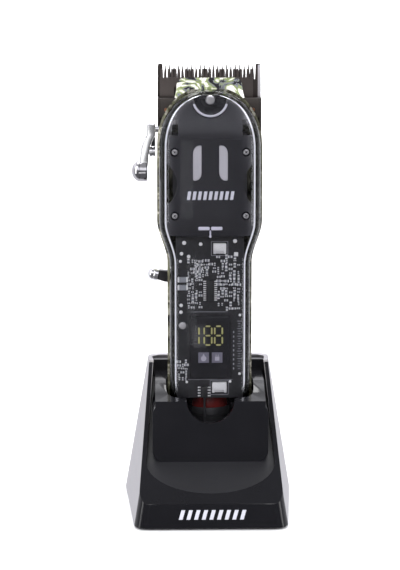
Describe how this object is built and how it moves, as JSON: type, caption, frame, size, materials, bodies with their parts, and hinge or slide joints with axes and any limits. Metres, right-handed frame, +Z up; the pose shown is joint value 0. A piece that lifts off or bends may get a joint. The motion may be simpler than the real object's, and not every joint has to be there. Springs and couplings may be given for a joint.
{
  "type": "hair clipper",
  "caption": "Cordless hair clipper with a clear front cover, display, taper lever and toggle switch, standing upright in a sloped charging stand.",
  "frame": {"origin": "centre of the charging stand's footprint, on the table", "axes": "+Z up along the docked clipper towards its blades, display and cover towards -Y, taper lever and switch on the -X side"},
  "size_m": [0.0776, 0.0818, 0.2035],
  "materials": {
    "silver_plastic": "satin silver paint on ABS",
    "black_gloss": "gloss black ABS",
    "black_matte": "fine spark texture",
    "cast_weight": "as cast",
    "rubber_feet": "matt",
    "steel_screws": "zinc plated",
    "stand_board": "solder mask",
    "gold_contacts": "gold plated",
    "camo_metal": "gloss lacquer over a mottled olive and cream film on die-cast metal",
    "clear_cover": "polished clear polycarbonate",
    "panel_black": "smoked satin",
    "pale_print": "silk-screen ink",
    "light_diffuser": "frosted diffuser",
    "motor_steel": "nickel plated",
    "wire_insulation": "PVC insulation",
    "acetal": "natural acetal",
    "graphite_blade": "graphite-grey coated steel",
    "bronze_blade": "bronze-grey coated steel",
    "copper_anchor": "bare copper-plated spring wire",
    "chrome_lever": "polished",
    "chrome_knob": "polished",
    "board_black": "black solder mask",
    "display_film": "smoked film",
    "display_glow": "unlit amber segments",
    "display_icon": "printed icon",
    "chip_black": "moulded epoxy",
    "solder_tin": "tinned",
    "battery_wrap": "red shrink sleeve"
  },
  "bodies": {
    "stand": {"stand_shell": "silver_plastic", "stand_cradle": "black_gloss", "stand_base_plate": "black_matte", "stand_weight": "cast_weight", "stand_feet": "rubber_feet", "stand_screws": "steel_screws", "stand_charge_board": "stand_board", "stand_inlet": "black_matte"},
    "left_pin": {"charge_pin_left": "gold_contacts"},
    "right_pin": {"charge_pin_right": "gold_contacts"},
    "clipper": {"back_shell": "camo_metal", "front_cover": "clear_cover", "nose_cover": "camo_metal", "inner_panel": "panel_black", "panel_screws": "steel_screws", "cover_screw": "steel_screws", "panel_badge": "pale_print", "light_bar": "light_diffuser", "chassis": "black_matte", "rear_screws": "steel_screws", "charge_contacts": "gold_contacts", "motor_can": "motor_steel", "motor_bracket": "black_matte", "motor_screws": "steel_screws", "motor_leads": "wire_insulation", "fixed_blade": "graphite_blade", "blade_screws": "steel_screws", "spring_anchors": "copper_anchor", "switch_body": "black_matte", "circuit_board": "board_black", "display_module": "display_film", "display_digits": "display_glow", "display_icons": "display_icon", "board_chips": "chip_black", "board_passives": "solder_tin", "board_connectors": "solder_tin", "board_pads": "solder_tin", "board_screw": "steel_screws", "battery_cell": "battery_wrap", "battery_tabs": "motor_steel", "battery_leads": "wire_insulation"},
    "rotor": {"motor_rotor": "steel_screws"},
    "fork": {"drive_fork": "acetal"},
    "carriage": {"taper_carriage": "motor_steel"},
    "cutter": {"moving_blade": "bronze_blade"},
    "lever": {"taper_lever": "chrome_lever", "lever_knob": "chrome_knob", "lever_screw": "chrome_lever", "lever_bumper": "black_matte"},
    "toggle": {"switch_paddle": "black_gloss", "switch_cap": "chrome_lever"}
  },
  "joints": [
    {"name": "clipper_lift", "type": "slide", "parent": "stand", "child": "clipper", "axis": [0, 0, 1], "range_m": [0, 0.06]},
    {"name": "left_pin_press", "type": "slide", "parent": "stand", "child": "left_pin", "axis": [0, 0, 1], "range_m": [-0.001, 0], "stiffness_N_per_m": 250, "springref_m": 0.0012},
    {"name": "right_pin_press", "type": "slide", "parent": "stand", "child": "right_pin", "axis": [0, 0, 1], "range_m": [-0.001, 0], "stiffness_N_per_m": 250, "springref_m": 0.0012},
    {"name": "motor_spin", "type": "hinge", "parent": "clipper", "child": "rotor", "pos_m": [0, -0.0012, 0.16], "axis": [0, 0, 1], "continuous": true},
    {"name": "drive_stroke", "type": "slide", "parent": "clipper", "child": "fork", "axis": [1, 0, 0], "range_m": [0, 0.0024]},
    {"name": "lever_swing", "type": "hinge", "parent": "clipper", "child": "lever", "pos_m": [-0.0225, 0.0012, 0.1749], "axis": [1, 0, 0], "range_deg": [0, 55]},
    {"name": "taper_slide", "type": "slide", "parent": "clipper", "child": "carriage", "axis": [0, 0, 1], "range_m": [0, 0.0019]},
    {"name": "blade_stroke", "type": "slide", "parent": "carriage", "child": "cutter", "axis": [1, 0, 0], "range_m": [0, 0.0024]},
    {"name": "power_switch", "type": "hinge", "parent": "clipper", "child": "toggle", "pos_m": [-0.0148, 0.0034, 0.1066], "axis": [0, -1, 0], "range_deg": [0, 22]}
  ],
  "couplings": [
    {"joint": "blade_stroke", "follows": "drive_stroke", "ratio": 1},
    {"joint": "taper_slide", "follows": "lever_swing", "m_per_rad": 0.0019773}
  ]
}
